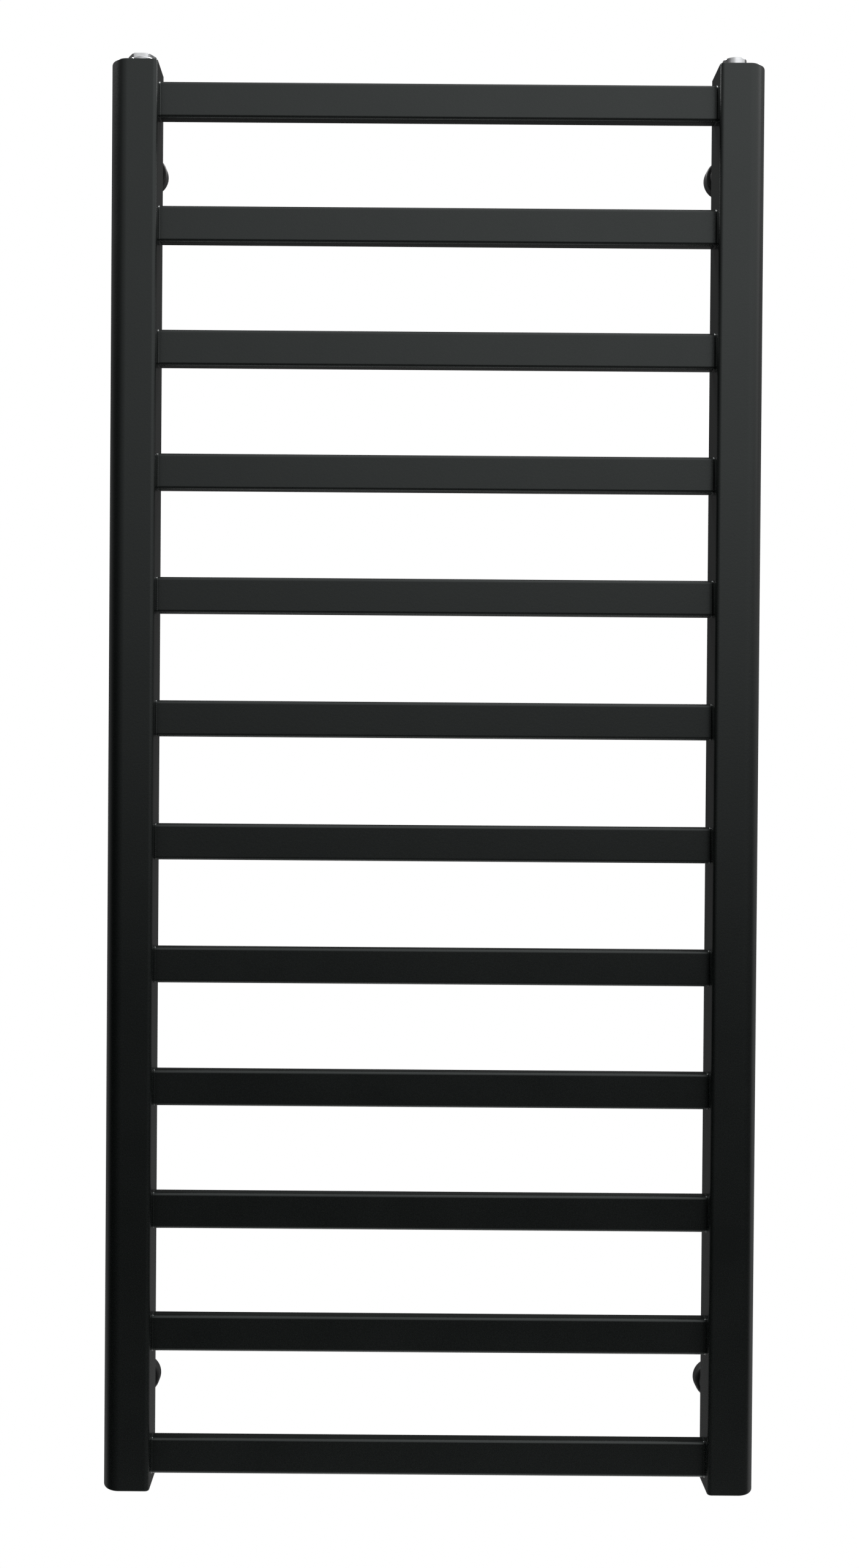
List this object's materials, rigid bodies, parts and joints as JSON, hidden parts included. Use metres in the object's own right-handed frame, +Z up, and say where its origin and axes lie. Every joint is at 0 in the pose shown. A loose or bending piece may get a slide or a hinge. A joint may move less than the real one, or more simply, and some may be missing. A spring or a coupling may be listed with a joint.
{
  "type": "towel warmer rack",
  "caption": "Wall-hung hot-water towel warmer: flat steel rails between two upright D-section collectors, with a bleed valve, blind plug and adjustable wall brackets.",
  "frame": {"origin": "on the wall plane, in the middle of the four wall fixings", "axes": "+Z up, +X to the right when facing the rack, +Y into the wall, so the front of the rack faces -Y"},
  "size_m": [0.55, 0.077, 1.2081],
  "materials": {
    "rack_coat": "satin black powder coat with a very fine texture",
    "chrome": "bright chrome plate",
    "bracket_plastic": "moulded matt black",
    "zinc_steel": "bright zinc plate",
    "seal_rubber": "smooth black rubber"
  },
  "bodies": {
    "wall_brackets": {"upper_left_wall_disc": "bracket_plastic", "upper_right_wall_disc": "bracket_plastic", "lower_left_wall_disc": "bracket_plastic", "lower_right_wall_disc": "bracket_plastic"},
    "rack": {"left_collector": "rack_coat", "right_collector": "rack_coat", "left_top_cap": "rack_coat", "right_top_cap": "rack_coat", "left_bottom_cap": "rack_coat", "right_bottom_cap": "rack_coat", "left_top_bush": "rack_coat", "right_top_bush": "rack_coat", "left_port_bush": "rack_coat", "right_port_bush": "rack_coat", "rail_01": "rack_coat", "rail_02": "rack_coat", "rail_03": "rack_coat", "rail_04": "rack_coat", "rail_05": "rack_coat", "rail_06": "rack_coat", "rail_07": "rack_coat", "rail_08": "rack_coat", "rail_09": "rack_coat", "rail_10": "rack_coat", "rail_11": "rack_coat", "rail_12": "rack_coat", "left_weld_beads": "rack_coat", "right_weld_beads": "rack_coat", "upper_left_boss": "rack_coat", "upper_right_boss": "rack_coat", "lower_left_boss": "rack_coat", "lower_right_boss": "rack_coat", "upper_left_sleeve": "bracket_plastic", "upper_right_sleeve": "bracket_plastic", "lower_left_sleeve": "bracket_plastic", "lower_right_sleeve": "bracket_plastic", "sleeve_screws": "zinc_steel", "plug_body": "chrome", "plug_seal": "seal_rubber", "vent_body": "chrome", "vent_seal": "seal_rubber"},
    "bleed_seal": {"vent_needle_seal": "seal_rubber"},
    "bleed_needle": {"vent_needle": "zinc_steel"},
    "bleed_outlet": {"vent_outlet_ring": "chrome"},
    "upper_left_grub_screw": {"upper_left_grub_screw": "zinc_steel"},
    "upper_right_grub_screw": {"upper_right_grub_screw": "zinc_steel"},
    "lower_left_grub_screw": {"lower_left_grub_screw": "zinc_steel"},
    "lower_right_grub_screw": {"lower_right_grub_screw": "zinc_steel"}
  },
  "joints": [
    {"name": "rack_depth", "type": "slide", "parent": "wall_brackets", "child": "rack", "axis": [0, -1, 0], "range_m": [-0.002, 0.005]},
    {"name": "bleed_travel", "type": "slide", "parent": "rack", "child": "bleed_seal", "axis": [0, 0, 1], "range_m": [0, 0.001]},
    {"name": "bleed_turn", "type": "hinge", "parent": "bleed_seal", "child": "bleed_needle", "pos_m": [0.25, -0.056, 0.599], "axis": [0, 0, 1], "range_deg": [0, 452]},
    {"name": "outlet_swivel", "type": "hinge", "parent": "rack", "child": "bleed_outlet", "pos_m": [0.25, -0.056, 0.599], "axis": [0, 0, 1], "continuous": true},
    {"name": "upper_left_grub_travel", "type": "slide", "parent": "rack", "child": "upper_left_grub_screw", "axis": [0, 0, -1], "range_m": [0, 0.003]},
    {"name": "upper_right_grub_travel", "type": "slide", "parent": "rack", "child": "upper_right_grub_screw", "axis": [0, 0, -1], "range_m": [0, 0.003]},
    {"name": "lower_left_grub_travel", "type": "slide", "parent": "rack", "child": "lower_left_grub_screw", "axis": [0, 0, -1], "range_m": [0, 0.003]},
    {"name": "lower_right_grub_travel", "type": "slide", "parent": "rack", "child": "lower_right_grub_screw", "axis": [0, 0, -1], "range_m": [0, 0.003]}
  ],
  "couplings": [
    {"joint": "bleed_turn", "follows": "bleed_travel", "rad_per_m": 7854}
  ]
}
